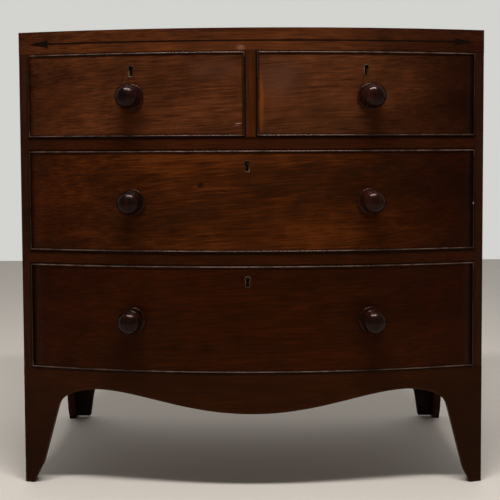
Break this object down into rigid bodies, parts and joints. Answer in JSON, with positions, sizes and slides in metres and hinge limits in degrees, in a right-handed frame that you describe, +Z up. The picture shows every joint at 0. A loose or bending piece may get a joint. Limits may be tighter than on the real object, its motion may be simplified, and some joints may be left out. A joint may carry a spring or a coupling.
{
  "type": "bow front chest of drawers",
  "caption": "Bow-fronted chest with short drawers over long ones, cock-beaded fronts, turned knobs, a line inlay and bracket feet.",
  "frame": {"origin": "middle of the footprint, on the floor", "axes": "+X to the viewer's right along the front, +Y from the front to the back, +Z up"},
  "size_m": [0.91, 0.5478, 0.893],
  "materials": {
    "case_mahogany": "French-polished dark mahogany, worn at the edges",
    "drawer_mahogany": "French-polished figured mahogany",
    "bead_mahogany": "polished dark mahogany bead",
    "turned_mahogany": "turned and polished dark mahogany",
    "oak": "aged oak, unfinished",
    "pine": "aged pine, unfinished",
    "ebony": "ebony inlay, polished flush",
    "brass": "aged brass",
    "iron": "dull wrought iron"
  },
  "bodies": {
    "carcass": {"top_board": "case_mahogany", "frieze_facing": "case_mahogany", "line_inlay": "ebony", "frieze_frame": "pine", "side_left": "case_mahogany", "side_right": "case_mahogany", "upper_rail": "case_mahogany", "lower_rail": "case_mahogany", "upper_dustboard": "pine", "lower_dustboard": "pine", "muntin": "case_mahogany", "drawer_guide": "pine", "bottom_board": "pine", "front_apron": "case_mahogany", "back_board_lower": "pine", "back_board_upper": "pine", "rear_bracket_left": "pine", "rear_bracket_right": "pine"},
    "short_left_drawer": {"short_left_front": "drawer_mahogany", "short_left_bead": "bead_mahogany", "short_left_side_left": "oak", "short_left_side_right": "oak", "short_left_back": "oak", "short_left_floor": "oak", "short_left_escutcheon": "brass", "short_left_lock_case": "iron", "short_left_knob": "turned_mahogany"},
    "short_left_bolt": {"short_left_lock_bolt": "brass"},
    "short_right_drawer": {"short_right_front": "drawer_mahogany", "short_right_bead": "bead_mahogany", "short_right_side_left": "oak", "short_right_side_right": "oak", "short_right_back": "oak", "short_right_floor": "oak", "short_right_escutcheon": "brass", "short_right_lock_case": "iron", "short_right_knob": "turned_mahogany"},
    "short_right_bolt": {"short_right_lock_bolt": "brass"},
    "long_upper_drawer": {"long_upper_front": "drawer_mahogany", "long_upper_bead": "bead_mahogany", "long_upper_side_left": "oak", "long_upper_side_right": "oak", "long_upper_back": "oak", "long_upper_floor": "oak", "long_upper_escutcheon": "brass", "long_upper_lock_case": "iron", "long_upper_knob_left": "turned_mahogany", "long_upper_knob_right": "turned_mahogany"},
    "long_upper_bolt": {"long_upper_lock_bolt": "brass"},
    "long_lower_drawer": {"long_lower_front": "drawer_mahogany", "long_lower_bead": "bead_mahogany", "long_lower_side_left": "oak", "long_lower_side_right": "oak", "long_lower_back": "oak", "long_lower_floor": "oak", "long_lower_escutcheon": "brass", "long_lower_lock_case": "iron", "long_lower_knob_left": "turned_mahogany", "long_lower_knob_right": "turned_mahogany"},
    "long_lower_bolt": {"long_lower_lock_bolt": "brass"}
  },
  "joints": [
    {"name": "short_left_drawer_slide", "type": "slide", "parent": "carcass", "child": "short_left_drawer", "axis": [0, -1, 0], "range_m": [0, 0.3]},
    {"name": "short_left_lock", "type": "slide", "parent": "short_left_drawer", "child": "short_left_bolt", "axis": [0, 0, 1], "range_m": [0, 0.008]},
    {"name": "short_right_drawer_slide", "type": "slide", "parent": "carcass", "child": "short_right_drawer", "axis": [0, -1, 0], "range_m": [0, 0.3]},
    {"name": "short_right_lock", "type": "slide", "parent": "short_right_drawer", "child": "short_right_bolt", "axis": [0, 0, 1], "range_m": [0, 0.008]},
    {"name": "long_upper_drawer_slide", "type": "slide", "parent": "carcass", "child": "long_upper_drawer", "axis": [0, -1, 0], "range_m": [0, 0.3]},
    {"name": "long_upper_lock", "type": "slide", "parent": "long_upper_drawer", "child": "long_upper_bolt", "axis": [0, 0, 1], "range_m": [0, 0.008]},
    {"name": "long_lower_drawer_slide", "type": "slide", "parent": "carcass", "child": "long_lower_drawer", "axis": [0, -1, 0], "range_m": [0, 0.3]},
    {"name": "long_lower_lock", "type": "slide", "parent": "long_lower_drawer", "child": "long_lower_bolt", "axis": [0, 0, 1], "range_m": [0, 0.008]}
  ]
}
